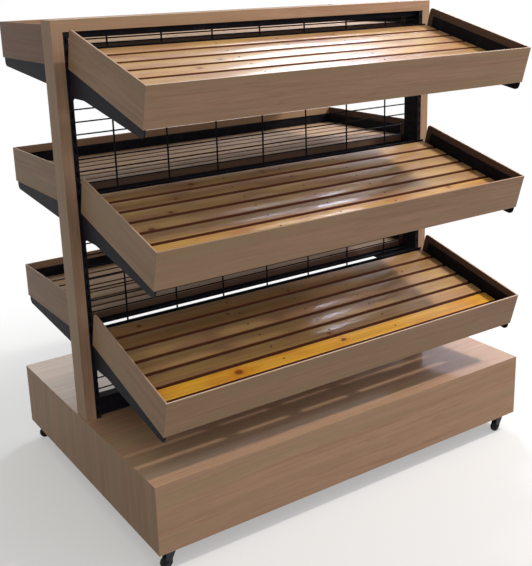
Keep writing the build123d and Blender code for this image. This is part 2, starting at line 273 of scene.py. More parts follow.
class RackSizes(bpy.types.PropertyGroup):
    """Small sizes of the dressed pieces."""
    slat_edge: length("Slat edge", "Radius of the slats' eased edges", 0.0016)
    slat_play: length("Slat play", "How far a slat may sit off its place along the tray", 0.0018)
    slat_roll: FloatProperty(name="Slat roll", description="How far a slat may roll about its length",
                             default=radians(0.5), min=0, max=radians(1), subtype="ANGLE")
    screw_head: length("Screw head", "Diameter of the slat screws' heads", 0.0062)
    screw_rise: length("Screw rise", "Height of the slat screws' heads above the slats", 0.0006)
    upright_wire: length("Upright wire", "Diameter of the upright wires", 0.0047)
    level_wire: length("Level wire", "Diameter of the level wires", 0.0037)
    tread_edge: length("Tread edge", "Radius of the wheels' tread edges", 0.0032)
    axle_nut: length("Axle nut", "Width of the axle nuts across corners", 0.0105)


class RackColours(bpy.types.PropertyGroup):
    """Colours of the finishes."""
    laminate_dark: colour("Laminate dark", "Darkest streaks of the laminate", (0.345, 0.205, 0.125))
    laminate_mid: colour("Laminate", "Ground of the laminate", (0.415, 0.254, 0.164))
    laminate_light: colour("Laminate light", "Palest streaks of the laminate", (0.475, 0.296, 0.190))
    laminate_olive: colour("Laminate olive", "Olive bands of the laminate", (0.372, 0.262, 0.152))
    # painted shade on the inner faces of the tray sides
    painted_inner_shade: colour("Painted inner shade", "Inner faces of the tray sides", (0.085, 0.056, 0.052))
    # painted highlight on the upper edges of the tray boards
    painted_edge_highlight: colour("Painted edge highlight", "Upper edges of the tray boards", (0.640, 0.480, 0.370))
    pine_pale: colour("Pine pale", "Early wood of the slats", (0.500, 0.318, 0.138))
    pine_deep: colour("Pine deep", "Late wood of the slats", (0.306, 0.170, 0.064))
    pine_rosy: colour("Pine rosy", "Blotches in the slats", (0.400, 0.220, 0.134))
    pine_warm: colour("Pine warm", "Boards whose varnish has turned orange", (0.740, 0.372, 0.034))
    pine_amber: colour("Pine amber", "Patches and knot rims of the orange boards", (0.600, 0.215, 0.013))
    pine_worn: colour("Pine worn", "Worn tops of the rear slats", (0.400, 0.282, 0.215))
    # painted shade on the front slats' sides and ends, in the gaps between boards
    front_side_painted_shade: colour("Front side shade", "Sides of the front slats, dark with painted shade", (0.165, 0.052, 0.024))
    # painted shade on the rear slats' sides and ends
    rear_side_painted_shade: colour("Rear side shade", "Sides of the rear slats, dark with painted shade", (0.140, 0.082, 0.056))
    knot: colour("Knot", "Knots in the slats", (0.140, 0.032, 0.009))
    raw_wood: colour("Raw wood", "Battens and blocks", (0.420, 0.270, 0.130))
    steel_black: colour("Black steel", "Powder coat of the steelwork", (0.0078, 0.0072, 0.0105))
    screw: colour("Screw", "Slat screws", (0.060, 0.050, 0.042))
    castor: colour("Castor", "Castor plates and forks", (0.022, 0.024, 0.030))
    rubber: colour("Rubber", "Castor wheels", (0.009, 0.009, 0.010))


class RackStage(bpy.types.PropertyGroup):
    """Light and floor of the studio."""
    key_power: power("Key", "Power of the key lamp", 88)
    window_power: power("Window", "Power of the lamp that glances off the decks", 54)
    tube_power: power("Tube", "Power of the lamp seen in the lower decks", 0.6)
    side_power: power("Side", "Power of the panel far out on the right", 7)
    wall_power: power("Wall", "Power of the panel behind the rack", 6)
    ambient: FloatProperty(name="Ambient", description="Strength of the light from all round",
                           default=0.62, min=0)
    drift: FloatProperty(name="Drift", description="How much more light comes from the front right",
                         default=0.50, min=0)
    warm_side: colour("Warm side", "Light from the back left", (1.0, 0.975, 0.80))
    cool_side: colour("Cool side", "Light from the front right", (0.955, 0.950, 1.0))
    floor: colour("Floor", "Floor near the rack", (0.86, 0.86, 0.86))
    floor_bounce: colour("Floor bounce", "Floor as the rack's underside sees it", (0.22, 0.21, 0.20))
    seed: IntProperty(name="Seed", description="Choice of the slats' boards", default=7)


class Value:
    """A shader socket whose arithmetic adds Math nodes."""

    def __init__(self, tree, socket):
        self.tree = tree
        self.socket = socket

    def math(self, operation, *terms):
        """A Math node on the terms."""
        return self.tree.node("ShaderNodeMath", {"operation": operation}, dict(enumerate(terms)))

    def __add__(self, other):
        return self.math("ADD", self, other)

    def __radd__(self, other):
        return self.math("ADD", other, self)

    def __sub__(self, other):
        return self.math("SUBTRACT", self, other)

    def __rsub__(self, other):
        return self.math("SUBTRACT", other, self)

    def __mul__(self, other):
        return self.math("MULTIPLY", self, other)

    def __rmul__(self, other):
        return self.math("MULTIPLY", other, self)

    def __truediv__(self, other):
        return self.math("DIVIDE", self, other)

    def __rtruediv__(self, other):
        return self.math("DIVIDE", other, self)

    def __pow__(self, other):
        return self.math("POWER", self, other)

    def __rpow__(self, other):
        return self.math("POWER", other, self)


class Nodes:
    """A node tree that is filled by one method."""

    def __init__(self, tree):
        self.tree = tree
        tree.nodes.clear()

    def node(self, kind, settings=None, sockets=None, output=0):
        """Adds a node, sets it up, fills its sockets and returns one of its outputs."""
        made = self.tree.nodes.new(kind)
        for name, setting in (settings or {}).items():
            if name == "ramp":
                self.set_ramp(made.color_ramp, setting)
            else:
                setattr(made, name, setting)
        for key, content in (sockets or {}).items():
            self.fill(made.inputs[key], content)
        return Value(self, made.outputs[output]) if len(made.outputs) else None

    def set_ramp(self, ramp, stops):
        """Gives a colour ramp its stops."""
        while len(ramp.elements) < len(stops):
            ramp.elements.new(1.0)
        for element, (place, tint) in zip(ramp.elements, stops):
            element.position = place
            element.color = (*tint, 1.0)

    def fill(self, socket, content):
        """Links a value to a socket, or sets a constant on it."""
        if isinstance(content, Value):
            self.tree.links.new(content.socket, socket)
        elif socket.type == "RGBA" and len(content) == 3:
            socket.default_value = (*content, 1.0)
        else:
            socket.default_value = content

    def place(self):
        """Place on the piece, in metres."""
        return self.node("ShaderNodeTexCoord", output="Object")

    def part(self, vector, axis):
        """One coordinate of a vector."""
        return self.node("ShaderNodeSeparateXYZ", {}, {0: vector}, axis)

    def vector(self, operation, *terms, output="Vector"):
        """Vector arithmetic."""
        return self.node("ShaderNodeVectorMath", {"operation": operation}, dict(enumerate(terms)), output)

    def noise(self, vector, scale, detail=2.0, roughness=0.5):
        """Noise whose cells are 1 / scale metres along each axis."""
        return self.node("ShaderNodeTexNoise", {}, {"Vector": self.vector("MULTIPLY", vector, scale),
                                                    "Scale": 1.0, "Detail": detail, "Roughness": roughness})

    def blend(self, factor, first, second):
        """Colour between two colours."""
        return self.node("ShaderNodeMix", {"data_type": "RGBA"}, {0: factor, 6: first, 7: second}, 2)

    def step(self, value, low, high):
        """0 below low, 1 above high, smooth between."""
        return self.node("ShaderNodeMapRange", {"interpolation_type": "SMOOTHSTEP"},
                         {"Value": value, "From Min": low, "From Max": high})

    def seen(self):
        """1 for rays that show the background to the camera, straight or in a reflection."""
        camera, glossy, clear = (self.node("ShaderNodeLightPath", output=f"Is {ray} Ray")
                                 for ray in ("Camera", "Glossy", "Transmission"))
        return camera.math("MAXIMUM", camera.math("MAXIMUM", camera, glossy), clear)


class Finish(Nodes):
    """A material with one shader, whose constants are set on the shader's own sockets."""

    def __init__(self, name, **constants):
        self.material = bpy.data.materials.new(name)
        self.material.use_nodes = True
        super().__init__(self.material.node_tree)
        sockets = {socket.replace("_", " "): constant for socket, constant in constants.items()}
        surface = self.node("ShaderNodeBsdfPrincipled", {}, sockets)
        self.node("ShaderNodeOutputMaterial", {}, {"Surface": surface})
        self.shader = surface.socket.node

    def feed(self, socket, content):
        """Fills a socket of the shader."""
        self.fill(self.shader.inputs[socket], content)

    def raise_relief(self, height, relief):
        """Raises the surface by height times relief."""
        self.feed("Normal", self.node("ShaderNodeBump", {}, {"Height": height, "Distance": relief,
                                                             "Strength": 1.0}))

    def kept(self, name, output="Fac"):
        """What the piece's points keep under a name."""
        return self.node("ShaderNodeAttribute", {"attribute_name": name}, output=output)

    def facing(self, axis):
        """How far the face looks along an axis, from -1 to 1."""
        return self.part(self.node("ShaderNodeNewGeometry", output="True Normal"), axis)

    def inward(self):
        """1 on faces that look to the rack's middle plane, else 0."""
        return self.step(self.part(self.place(), "X") * self.facing("X"), -0.2, -0.4)

    def grained(self, grain):
        """Coordinates of a board with the first axis along its grain."""
        turn = ALONG_X.rotation_difference(grain).to_euler()
        return self.node("ShaderNodeMapping", {"vector_type": "TEXTURE"},
                         {"Vector": self.place(), "Rotation": turn})

    def drifted(self, board, reach, scale):
        """Coordinates whose cross-grain axes wander along the board."""
        wander = (self.noise(board, scale) - 0.5) * reach
        shift = self.node("ShaderNodeCombineXYZ", {}, {"Y": wander, "Z": wander})
        return self.vector("ADD", board, shift)


def shaded(tint, share, lift=0.0):
    """A colour times a share, plus a lift."""
    return [part * share + lift for part in tint]


def laminate(name, grain, gloss=0.0, band_or_highlight=0.0, painted_inner_shade=0.0, painted_shading=NO_PAINTED_SHADING):
    """Satin laminate printed with a brown wood grain.

    gloss adds a clear coat; band paints a highlight on the upper edges, lining paints shade on the inner
    faces and shade paints light or shade into the grain colours.
    """
    colours = bpy.context.scene.rack_colours
    finish = Finish(name, Specular_IOR_Level=0.11, Coat_Weight=gloss, Coat_Roughness=0.11)
    board = finish.drifted(finish.grained(grain), LAMINATE_WANDER, LAMINATE_DRIFT)
    broad = finish.noise(board, LAMINATE_BROAD)
    streak = finish.noise(board, LAMINATE_STREAK, roughness=0.6)
    fine = finish.noise(board, LAMINATE_FINE)
    pore = finish.noise(board, LAMINATE_PORE, detail=1.0)
    tone = broad * 0.26 + streak * 0.34 + fine * 0.26 + pore * 0.14
    # The tint paints light or shade into the grain colours of some boards
    dark, mid, light, olive = ([part * share for part, share in zip(tint, painted_shading)] for tint in (
        colours.laminate_dark, colours.laminate_mid, colours.laminate_light, colours.laminate_olive))
    surface = finish.node("ShaderNodeValToRGB", {"ramp": [(0.39, dark), (0.50, mid), (0.61, light)]},
                          {"Fac": tone})
    cast = finish.noise(board, LAMINATE_CAST, detail=3.0)
    surface = finish.blend(finish.step(cast, 0.42, 0.66) * 0.7, surface, olive)
    # Painted shade on the faces that look inward
    if painted_inner_shade:
        surface = finish.blend(finish.inward() * painted_inner_shade, surface, colours.painted_inner_shade)
    # Painted highlight on the faces that look up
    if band_or_highlight:
        upward = finish.step(finish.facing("Z"), 0.90, 0.94)
        surface = finish.blend(upward * band_or_highlight, surface, colours.painted_edge_highlight)
    finish.feed("Base Color", surface)
    finish.feed("Roughness", 0.50 - streak * 0.12)
    finish.raise_relief(streak * 0.5 + pore * 0.5, LAMINATE_RELIEF)
    return finish.material


def knot_distance(finish, board, name):
    """Distance on the board from the knot that its points keep under a name, over the knot's size."""
    spot = finish.kept(name, "Vector")
    flat = finish.vector("MULTIPLY", finish.vector("SUBTRACT", board, spot), KNOT_STRETCH)
    return finish.vector("LENGTH", flat, output="Value") / finish.part(spot, "Z")


def pine(name, side, roughness, gloss=0.0, wear=0.0):
    """Pine with growth rings, fibres and knots, each board with its own.

    side is the painted shade on the boards' sides and ends, gloss varnishes their tops and wear greys them.
    """
    colours = bpy.context.scene.rack_colours
    finish = Finish(name, Specular_IOR_Level=0.14, Coat_Roughness=0.20)
    board = finish.kept("grain", "Vector")
    choice = finish.kept("board")
    warmth = finish.kept("warmth")
    first, second = (knot_distance(finish, board, spot) for spot in KNOT_NAMES)
    distance = first.math("MINIMUM", first, second)
    knot = 1 - finish.step(distance, *KNOT_FADE)
    halo = 1 - finish.step(distance, *HALO_FADE)

    across = finish.part(finish.drifted(board, PINE_WANDER, PINE_DRIFT), "Y")
    depth = finish.part(board, "Z") + (choice * PITH_SPREAD + PITH_DEPTH)
    radius = (across * across + depth * depth) ** 0.5
    rings = radius / RING_WIDTH + halo * 1.3 + finish.noise(board, PINE_WOBBLE) * 1.2
    ring = rings.math("FRACT", rings)
    late = finish.step(ring, 0.35, 0.9) * (1 - finish.step(ring, 0.94, 1.0))
    fibre = finish.noise(board, PINE_FIBRE)
    cloud = finish.noise(board, PINE_CLOUD)
    blotch = finish.step(finish.noise(board, PINE_BLOTCH), 0.42, 0.62)

    tone = late * 0.26 + fibre * 0.30 + cloud * 0.80 + choice * 0.32 - 0.52
    pale = finish.blend(blotch * 0.95, colours.pine_pale, colours.pine_rosy)
    warm = finish.blend(blotch * 0.6, colours.pine_warm, colours.pine_amber)
    wood = finish.blend(tone, finish.blend(warmth, pale, warm), colours.pine_deep)
    rim = finish.blend(warmth, colours.pine_deep, colours.pine_amber)
    wood = finish.blend(halo * 0.55, wood, rim)
    if wear:
        wood = finish.blend(wear, wood, colours.pine_worn)
    wood = finish.blend(knot * 0.85, wood, colours.knot)
    # Painted shade: faces that are not flat, the slats' sides and ends, take the side colour
    up = finish.facing("Z")
    level = finish.step(up * up, 0.30, 0.72)
    finish.feed("Base Color", finish.blend(level, side, wood))
    finish.feed("Roughness", roughness + fibre * 0.12)
    if gloss:
        finish.feed("Coat Weight", level * gloss)
    finish.raise_relief(fibre * 0.5 + late * 0.3 - knot * 0.6, PINE_RELIEF)
    return finish.material


def raw_wood(name, grain):
    """Planed softwood without varnish."""
    tint = bpy.context.scene.rack_colours.raw_wood
    finish = Finish(name)
    board = finish.drifted(finish.grained(grain), RAW_WANDER, RAW_DRIFT)
    band_or_highlight = finish.noise(board, RAW_BAND)
    fibre = finish.noise(board, RAW_FIBRE, detail=1.0)
    finish.feed("Base Color", finish.blend(band_or_highlight * 0.9 + fibre * 0.4 - 0.3, tint, shaded(tint, 0.62)))
    finish.feed("Roughness", 0.62 + fibre * 0.15)
    finish.raise_relief(fibre, RAW_RELIEF)
    return finish.material


def powder_coat():
    """Black powder coat with a faint orange peel and a little dust, made once."""
    name = "black_powder_coat"
    if name in bpy.data.materials:
        return bpy.data.materials[name]
    tint = bpy.context.scene.rack_colours.steel_black
    finish = Finish(name, Specular_IOR_Level=0.08)
    place = finish.place()
    peel = finish.noise(place, COAT_PEEL, detail=1.0)
    dust = finish.noise(place, COAT_DUST, detail=4.0, roughness=0.65)
    finish.feed("Base Color", finish.blend(finish.step(dust, 0.45, 0.8), tint, shaded(tint, 2.4, 0.004)))
    finish.feed("Roughness", 0.46 + dust * 0.22)
    finish.raise_relief(peel, COAT_RELIEF)
    return finish.material


def dark_metal(name, tint, shine):
    """Plated metal, dulled in patches."""
    finish = Finish(name)
    place = finish.place()
    stain = finish.noise(place, METAL_STAIN, detail=3.0, roughness=0.6)
    scratch = finish.noise(place, METAL_SCRATCH, detail=1.0)
    finish.feed("Base Color", finish.blend(finish.step(stain, 0.35, 0.7), tint, shaded(tint, 0.55)))
    finish.feed("Metallic", shine - finish.step(stain, 0.5, 0.8) * 0.25)
    finish.feed("Roughness", 0.30 + stain * 0.25 + scratch * 0.08)
    finish.raise_relief(scratch, METAL_RELIEF)
    return finish.material


def tyre():
    """Black wheel rubber, scuffed and dusty."""
    tint = bpy.context.scene.rack_colours.rubber
    finish = Finish("wheel_rubber", Specular_IOR_Level=0.25)
    scuff = finish.noise(finish.place(), RUBBER_SCUFF, detail=3.0, roughness=0.6)
    finish.feed("Base Color", finish.blend(finish.step(scuff, 0.5, 0.8), tint, shaded(tint, 1.0, 0.035)))
    finish.feed("Roughness", 0.55 + scuff * 0.25)
    finish.raise_relief(scuff, RUBBER_RELIEF)
    return finish.material


def paint(material, *nodes):
    """Gives CAD nodes their finish."""
    for node in nodes:
        slots = NODES[node].material_slots
        if not slots:
            NODES[node].data.materials.append(material)
        for slot in slots:
            slot.material = material


def deselect():
    """Leaves edit mode and selects nothing."""
    if bpy.context.object and bpy.context.object.mode != "OBJECT":
        bpy.ops.object.mode_set(mode="OBJECT")
    bpy.ops.object.select_all(action="DESELECT")


def round_bar(sides, radius, height, standing=False):
    """Round bar along z in edit mode, about its middle or standing on z = 0."""
    deselect()
    bpy.ops.mesh.primitive_cylinder_add(vertices=sides, radius=radius, depth=height,
                                        location=(0, 0, height / 2 if standing else 0))
    bpy.ops.object.transform_apply(location=True, rotation=True, scale=True)
    bpy.ops.object.mode_set(mode="EDIT")
    return bpy.context.object


def choose(kind, wanted):
    """Selects the faces or edges in edit mode for which wanted is true, and nothing else."""
    mesh = bpy.context.object.data
    bpy.ops.mesh.select_mode(type=kind)
    bpy.ops.mesh.select_all(action="DESELECT")
    shape = bmesh.from_edit_mesh(mesh)
    for part in shape.faces if kind == "FACE" else shape.edges:
        if wanted(part):
            part.select_set(True)
    bmesh.update_edit_mesh(mesh)


def resize(across, height=1.0):
    """Scales what is selected about the origin, across z and along it."""
    bpy.ops.transform.resize(value=(across, across, height), center_override=ORIGIN)


def lift(rise):
    """Extrudes what is selected along z."""
    bpy.ops.mesh.extrude_region_move(TRANSFORM_OT_translate={"value": (0, 0, rise)})


def smoothed(degrees):
    """The piece out of edit mode, with faces smooth up to an angle."""
    bpy.ops.object.mode_set(mode="OBJECT")
    bpy.ops.object.shade_smooth_by_angle(angle=radians(degrees))
    return bpy.context.object


def copied(pattern, place):
    """Copy of a pattern piece with its own mesh, put in its place."""
    piece = pattern.copy()
    piece.data = pattern.data.copy()
    bpy.context.collection.objects.link(piece)
    piece.matrix_world = place
    return piece


def drop_patterns(*patterns):
    """Removes patterns once their copies are made."""
    for pattern in patterns:
        mesh = pattern.data
        bpy.data.objects.remove(pattern)
        bpy.data.meshes.remove(mesh)


def joined(name, pieces, material, body, slot, *nodes):
    """One finished piece from copies, riding on its body."""
    deselect()
    for piece in pieces:
        piece.select_set(True)
    bpy.context.view_layer.objects.active = pieces[0]
    if len(pieces) > 1:
        bpy.ops.object.join()
    piece = bpy.context.object
    bpy.ops.object.transform_apply(location=True, rotation=True, scale=True)
    piece.name = name
    piece.data.name = name
    piece.data.materials.clear()
    piece.data.materials.append(material)
    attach(piece, body)
    if nodes:
        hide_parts(*nodes)


def tray_place(side, tier):
    """Frame of a tray: x across it, -y from its back edge to its front, -z down from its top edge."""
    rear = side == "rear"
    face = Matrix.Translation((0, UPRIGHT_FACE if rear else -UPRIGHT_FACE, HANG_LINE[tier]))
    turn = Matrix.Rotation(pi if rear else 0.0, 4, "Z")
    tip = Matrix.Rotation(TILT[side], 4, "X")
    return face @ turn @ tip @ Matrix.Translation((0, -HANG_SETBACK, HANG_DROP))


def slat_middle(slat):
    """Middle of a slat in its tray's frame."""
    reach = FIRST_SLAT + SLAT_WIDTH / 2 + slat * SLAT_PITCH
    return Vector((0, -reach, -DECK_DROP - SLAT_THICKNESS / 2))


def slat_pattern():
    """One slat with eased edges, about its own middle."""
    deselect()
    bpy.ops.mesh.primitive_cube_add(size=1, scale=(SLAT_LENGTH, SLAT_WIDTH, SLAT_THICKNESS))
    bpy.ops.object.transform_apply(location=False, rotation=False, scale=True)
    bpy.ops.object.mode_set(mode="EDIT")
    bpy.ops.mesh.select_all(action="SELECT")
    bpy.ops.mesh.bevel(offset=bpy.context.scene.rack_sizes.slat_edge, segments=3, affect="EDGES")
    return smoothed(40)


def own_knots(chance):
    """Chance knots of a board."""
    return [tuple(map(chance.uniform, LEAST_KNOT, MOST_KNOT)) if chance.random() < KNOT_CHANCE else NO_KNOT
            for _ in KNOT_NAMES]


def mark_board(board, number, tone, warmth, shift, knots):
    """Keeps a board's own grain coordinates, knots, tone and warmth on its points."""
    mesh = board.data
    count = len(mesh.vertices)
    offset = (number * GRAIN_ROOM + shift[0], shift[1], shift[2])
    grain = mesh.attributes.new("grain", "FLOAT_VECTOR", "POINT")
    grain.data.foreach_set("vector", [part + offset[axis] for vertex in mesh.vertices
                                      for axis, part in enumerate(vertex.co)])
    for name, (x, y, size) in zip(KNOT_NAMES, knots):
        spot = (x + offset[0], y + offset[1], size)
        mesh.attributes.new(name, "FLOAT_VECTOR", "POINT").data.foreach_set("vector", spot * count)
    for name, share in (("board", tone), ("warmth", warmth)):
        mesh.attributes.new(name, "FLOAT", "POINT").data.foreach_set("value", [share] * count)


def screw_pattern():
    """Head of a screw with a recess for the driver, its underside on z = 0."""
    sizes = bpy.context.scene.rack_sizes
    radius = sizes.screw_head / 2
    round_bar(SCREW_SIDES, radius, sizes.screw_rise, standing=True)
    choose("FACE", lambda face: face.normal.z > FLAT)
    resize(SCREW_TOP)
    bpy.ops.mesh.inset(thickness=radius * RECESS_RIM)
    lift(-sizes.screw_rise * RECESS_DEPTH)
    resize(RECESS_TAPER)
    return smoothed(30)


def wire_pattern(diameter, run):
    """Round wire along z about its middle, with eased ends."""
    round_bar(WIRE_SIDES, diameter / 2, run)
    choose("FACE", lambda face: abs(face.normal.z) > FLAT)
    bpy.ops.mesh.inset(thickness=diameter * WIRE_END)
    return smoothed(50)


def weld_pattern(diameter):
    """Squeezed bead of a spot weld."""
    deselect()
    bpy.ops.mesh.primitive_ico_sphere_add(subdivisions=1, radius=diameter / 2)
    bpy.ops.object.mode_set(mode="EDIT")
    bpy.ops.mesh.select_all(action="SELECT")
    bpy.ops.transform.resize(value=(1.0, WELD_SQUEEZE, 1.0), center_override=ORIGIN)
    bpy.ops.object.mode_set(mode="OBJECT")
    bpy.ops.object.shade_smooth()
    return bpy.context.object


def on_rim(edge, radius):
    """Whether both ends of an edge lie on a circle round z, at the same height."""
    first, second = (end.co for end in edge.verts)
    level = abs(first.z - second.z) < LEVEL_MISS
    return level and all(abs(hypot(end.x, end.y) - radius) < RIM_MISS for end in (first, second))


def wheel_pattern():
    """Bored wheel about z: rounded tread, dished sides and a raised hub."""
    half = WHEEL_WIDTH / 2
    wheel = round_bar(WHEEL_SIDES, WHEEL_RADIUS, WHEEL_WIDTH)
    choose("FACE", lambda face: abs(face.normal.z) > FLAT)
    for width, taper, height in ((RIM_WIDTH, DISH_TAPER, 1 - DISH_DEPTH / half),
                                 (WEB_WIDTH, HUB_TAPER, half / (half - DISH_DEPTH))):
        bpy.ops.mesh.inset(thickness=width, use_individual=True)
        bpy.ops.mesh.extrude_region_move()
        resize(taper, height)
    hub = max(hypot(*corner.co.xy) for face in bmesh.from_edit_mesh(wheel.data).faces if face.select
              for corner in face.verts)
    bpy.ops.mesh.inset(thickness=hub - AXLE_RADIUS * BORE_PLAY, use_individual=True)
    bpy.ops.mesh.delete(type="FACE")
    choose("EDGE", lambda edge: edge.is_boundary)
    bpy.ops.mesh.bridge_edge_loops()
    choose("EDGE", lambda edge: on_rim(edge, WHEEL_RADIUS))
    bpy.ops.mesh.bevel(offset=bpy.context.scene.rack_sizes.tread_edge, segments=4, affect="EDGES")
    bpy.ops.mesh.select_all(action="SELECT")
    bpy.ops.mesh.normals_make_consistent(inside=False)
    return smoothed(35)


def nut_pattern():
    """Hexagon nut on a bolt end, standing on z = 0."""
    across = bpy.context.scene.rack_sizes.axle_nut
    round_bar(6, across / 2, across * NUT_HEIGHT, standing=True)
    choose("FACE", lambda face: face.normal.z > FLAT)
    bpy.ops.mesh.bevel(offset=across * NUT_EDGE, segments=2, affect="EDGES")
    choose("FACE", lambda face: face.normal.z > QUITE_FLAT)
    bpy.ops.mesh.inset(thickness=across * NUT_RIM)
    lift(across * BOLT_RISE)
    return smoothed(30)


class RACK_OT_laminate(bpy.types.Operator):
    """Gives the plinth, the portal and the trays' boards their laminate, each along its own grain"""
    bl_idname = "rack.laminate"
    bl_label = "Laminate boards"

    def execute(self, context):
        across = laminate("laminate_across", ALONG_X)
        upward = laminate("laminate_upward", ALONG_Z)
        # The plinth top is painted lighter, the low front fascia and rear tray sides painted darker; the
        # boards get painted highlights on their upper edges, and the side panels painted shade inside
        top = laminate("laminate_top", ALONG_X, gloss=0.65, painted_shading=PLINTH_TOP_PAINTED_LIGHT)
        fascia = laminate("laminate_fascia", ALONG_X, band_or_highlight=0.8)
        painted_shade_low_fascia = laminate("laminate_low_fascia", ALONG_X, band_or_highlight=0.8, painted_shading=LOW_FASCIA_PAINTED_SHADE)
        plain_fascia = laminate("laminate_plain_fascia", ALONG_X, band_or_highlight=0.1)
        sloped = laminate("laminate_sloped", ALONG_SLOPE, band_or_highlight=0.3, painted_inner_shade=0.9)
        paint(across, "plinth_front", "plinth_rear", "header")
        paint(upward, "plinth_left", "plinth_right", "post_left", "post_right")
        paint(top, "plinth_top")
        for tier, front_fascia in zip(TIERS, (painted_shade_low_fascia, plain_fascia, fascia)):
            level = laminate(f"laminate_rear_{tier}", ALONG_Y, band_or_highlight=0.2, painted_inner_shade=0.9,
                             painted_shading=REAR_SIDE_PAINTED_SHADE[tier])
            paint(front_fascia, f"front_{tier}_fascia")
            paint(fascia, f"rear_{tier}_fascia")
            paint(sloped, f"front_{tier}_side_panels")
            paint(level, f"rear_{tier}_side_panels")
        return {"FINISHED"}


class RACK_OT_steelwork(bpy.types.Operator):
    """Gives the uprights, rails and brackets their black powder coat"""
    bl_idname = "rack.steelwork"
    bl_label = "Black steelwork"

    def execute(self, context):
        coat = powder_coat()
        paint(coat, "upright_left", "upright_right", "top_rail", "bottom_rail")
        for side, tier in TRAYS:
            paint(coat, f"{side}_{tier}_rails", f"{side}_{tier}_brackets")
        return {"FINISHED"}


class RACK_OT_wire_grid(bpy.types.Operator):
    """Builds the round wires of the grid with their spot welds"""
    bl_idname = "rack.wire_grid"
    bl_label = "Wire grid"

    def execute(self, context):
        sizes = context.scene.rack_sizes
        low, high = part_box("wire_grid")
        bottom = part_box("bottom_rail")[1][2]
        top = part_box("top_rail")[0][2]
        middle = (bottom + top) / 2
        heights = [bottom + FIRST_WIRE_RISE + k * LEVEL_WIRE_PITCH for k in range(LEVEL_WIRE_COUNT)]
        heights.append(top - EDGE_WIRE_DROP)
        half = (UPRIGHT_WIRE_COUNT - 1) / 2
        columns = [(k - half) * UPRIGHT_WIRE_PITCH for k in range(UPRIGHT_WIRE_COUNT)]
        upright = wire_pattern(sizes.upright_wire, top - bottom)
        level = wire_pattern(sizes.level_wire, high[0] - low[0])
        bead = weld_pattern(sizes.level_wire * WELD_SPREAD)
        lie = Matrix.Rotation(pi / 2, 4, "Y")
        wires = [copied(upright, Matrix.Translation((x, -sizes.upright_wire / 2, middle))) for x in columns]
        wires += [copied(level, Matrix.Translation((0, sizes.level_wire / 2, z)) @ lie) for z in heights]
        wires += [copied(bead, Matrix.Translation((x, 0, z))) for x in columns for z in heights]
        joined("grid_wires", wires, powder_coat(), "rack", "black_steel", "wire_grid")
        drop_patterns(upright, level, bead)
        return {"FINISHED"}


class RACK_OT_slats(bpy.types.Operator):
    """Builds the pine slats of the six trays, each board with its own grain"""
    bl_idname = "rack.slats"
    bl_label = "Slats"

    def execute(self, context):
        sizes = context.scene.rack_sizes
        colours = context.scene.rack_colours
        chance = random.Random(context.scene.rack_stage.seed)
        pattern = slat_pattern()
        # The side colours are painted shade on the slats' sides and ends
        woods = {"front": pine("varnished_pine", colours.front_side_painted_shade, roughness=0.34, gloss=0.36),
                 "rear": pine("worn_pine", colours.rear_side_painted_shade, roughness=0.52, wear=0.55)}
        number = 0
        for side, tier in TRAYS:
            place = tray_place(side, tier)
            boards = []
            for slat in range(SLAT_COUNT):
                play = Vector((chance.uniform(-1, 1) * sizes.slat_play, 0, 0))
                roll = Matrix.Rotation(chance.uniform(-1, 1) * sizes.slat_roll, 4, "X")
                board = copied(pattern, place @ Matrix.Translation(slat_middle(slat) + play) @ roll)
                shift = [chance.uniform(-GRAIN_SHIFT, GRAIN_SHIFT) for _ in range(3)]
                warmth = chance.uniform(0.0, MOST_WARMTH)
                knots = own_knots(chance)
                tone = chance.random()
                warmth, tone = PHOTO_BOARDS.get((side, tier, slat), (warmth, tone))
                knots = PHOTO_KNOTS.get((side, tier, slat), knots)
                mark_board(board, number, tone, warmth, shift, knots)
                boards.append(board)
                number += 1
            name = f"{side}_{tier}_slat_boards"
            joined(name, boards, woods[side], "rack", "slat_wood", f"{side}_{tier}_slats")
        drop_patterns(pattern)
        return {"FINISHED"}


class RACK_OT_slat_screws(bpy.types.Operator):
    """Drives one screw through every slat at every batten"""
    bl_idname = "rack.slat_screws"
    bl_label = "Slat screws"

    def execute(self, context):
        chance = random.Random(context.scene.rack_stage.seed + 1)
        pattern = screw_pattern()
        metal = dark_metal("screw_metal", context.scene.rack_colours.screw, shine=0.6)
        rise = SLAT_THICKNESS / 2 - SCREW_BITE
        for side, tier in TRAYS:
            place = tray_place(side, tier)
            screws = []
            for slat in range(SLAT_COUNT):
                for x in SCREW_LINES:
                    stray = [chance.uniform(-1, 1) * SCREW_STRAY for _ in range(2)]
                    spot = slat_middle(slat) + Vector((x, 0, 0)) + Vector((*stray, rise))
                    screws.append(copied(pattern, place @ Matrix.Translation(spot)))
            joined(f"{side}_{tier}_slat_screws", screws, metal, "rack", "castor_steel")
        drop_patterns(pattern)
        return {"FINISHED"}


class RACK_OT_battens(bpy.types.Operator):
    """Gives the battens and the castor blocks their raw wood"""
    bl_idname = "rack.battens"
    bl_label = "Battens and blocks"

    def execute(self, context):
        paint(raw_wood("raw_wood_inward", ALONG_Y), *(f"rear_{tier}_battens" for tier in TIERS))
        paint(raw_wood("raw_wood_sloped", ALONG_SLOPE), *(f"front_{tier}_battens" for tier in TIERS))
        paint(raw_wood("raw_wood_blocks", ALONG_X), "castor_blocks")
        return {"FINISHED"}


